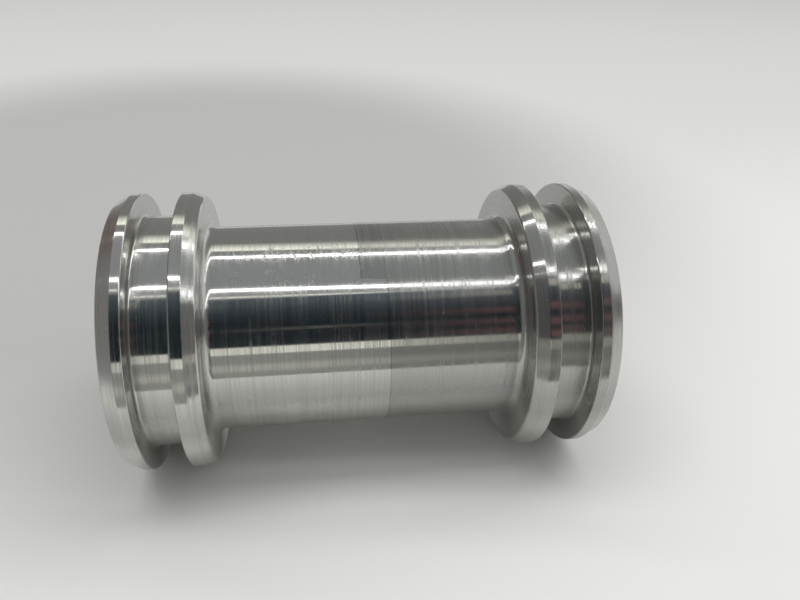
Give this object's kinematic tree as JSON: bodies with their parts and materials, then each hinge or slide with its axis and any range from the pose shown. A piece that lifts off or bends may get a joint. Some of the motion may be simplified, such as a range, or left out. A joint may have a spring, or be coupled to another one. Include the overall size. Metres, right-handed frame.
{
  "type": "spool pipe",
  "caption": "Straight turned steel spool pipe with a through bore, collared ends and a seal groove round each end.",
  "frame": {"origin": "middle of the lower end face, on the pipe's axis", "axes": "+Z along the pipe's axis from the lower end face to the upper one; the pipe is round, and X and Y are free"},
  "size_m": [0.0522, 0.0522, 0.0875],
  "materials": {
    "turned_steel": "bright turned"
  },
  "bodies": {
    "root": {"spool_pipe": "turned_steel"}
  },
  "joints": []
}
